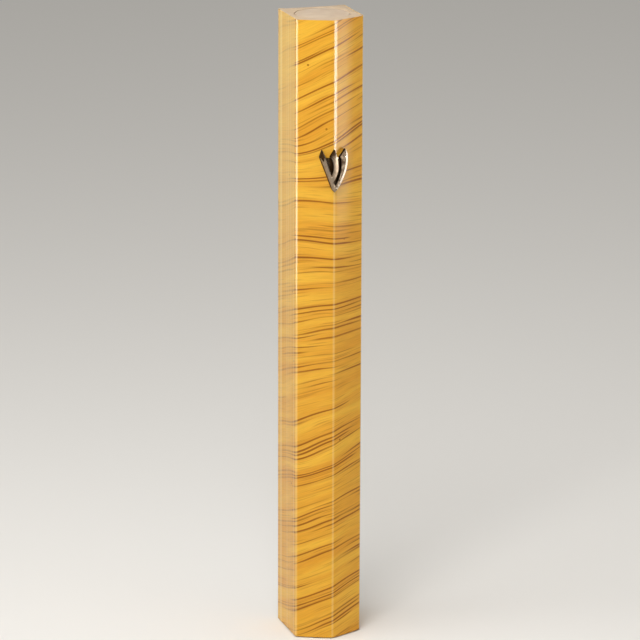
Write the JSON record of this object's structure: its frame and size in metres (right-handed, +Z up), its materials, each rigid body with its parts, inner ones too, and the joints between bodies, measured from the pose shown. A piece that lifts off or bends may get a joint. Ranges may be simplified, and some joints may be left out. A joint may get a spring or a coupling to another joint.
{
  "type": "mezuzah case",
  "caption": "Slim wood-grain mezuzah case with a ridged front, a cast letter emblem, rubber end stoppers and a rolled scroll that slides out of its bore.",
  "frame": {"origin": "centre of the outer adhesive face of the mounting tape, in the plane of the doorpost", "axes": "+Z up along the case, +Y into the doorpost, so the ridge and the emblem face -Y, +X to the right as seen from the room"},
  "size_m": [0.0196, 0.0239, 0.1806],
  "materials": {
    "core_profile": "satin",
    "wood_grain_film": "gloss",
    "stopper": "matte",
    "scroll": "matte",
    "scroll_sleeve": "gloss",
    "emblem": "satin",
    "emblem_pad": "matte",
    "mounting_tape": "matte"
  },
  "bodies": {
    "case": {"core_profile": "core_profile", "wood_grain_film": "wood_grain_film", "emblem": "emblem", "emblem_pad": "emblem_pad", "mounting_tape": "mounting_tape"},
    "top_stopper": {"top_stopper": "stopper"},
    "bottom_stopper": {"bottom_stopper": "stopper"},
    "scroll": {"scroll": "scroll", "scroll_sleeve": "scroll_sleeve"}
  },
  "joints": [
    {"name": "scroll_slide", "type": "slide", "parent": "case", "child": "scroll", "axis": [0, 0, 1], "range_m": [0, 0.175]},
    {"name": "top_stopper_pull", "type": "slide", "parent": "case", "child": "top_stopper", "axis": [0, 0, 1], "range_m": [0, 0.21]},
    {"name": "bottom_stopper_pull", "type": "slide", "parent": "case", "child": "bottom_stopper", "axis": [0, 0, -1], "range_m": [0, 0.03]}
  ],
  "couplings": [
    {"joint": "top_stopper_pull", "follows": "scroll_slide", "ratio": 1.2}
  ]
}
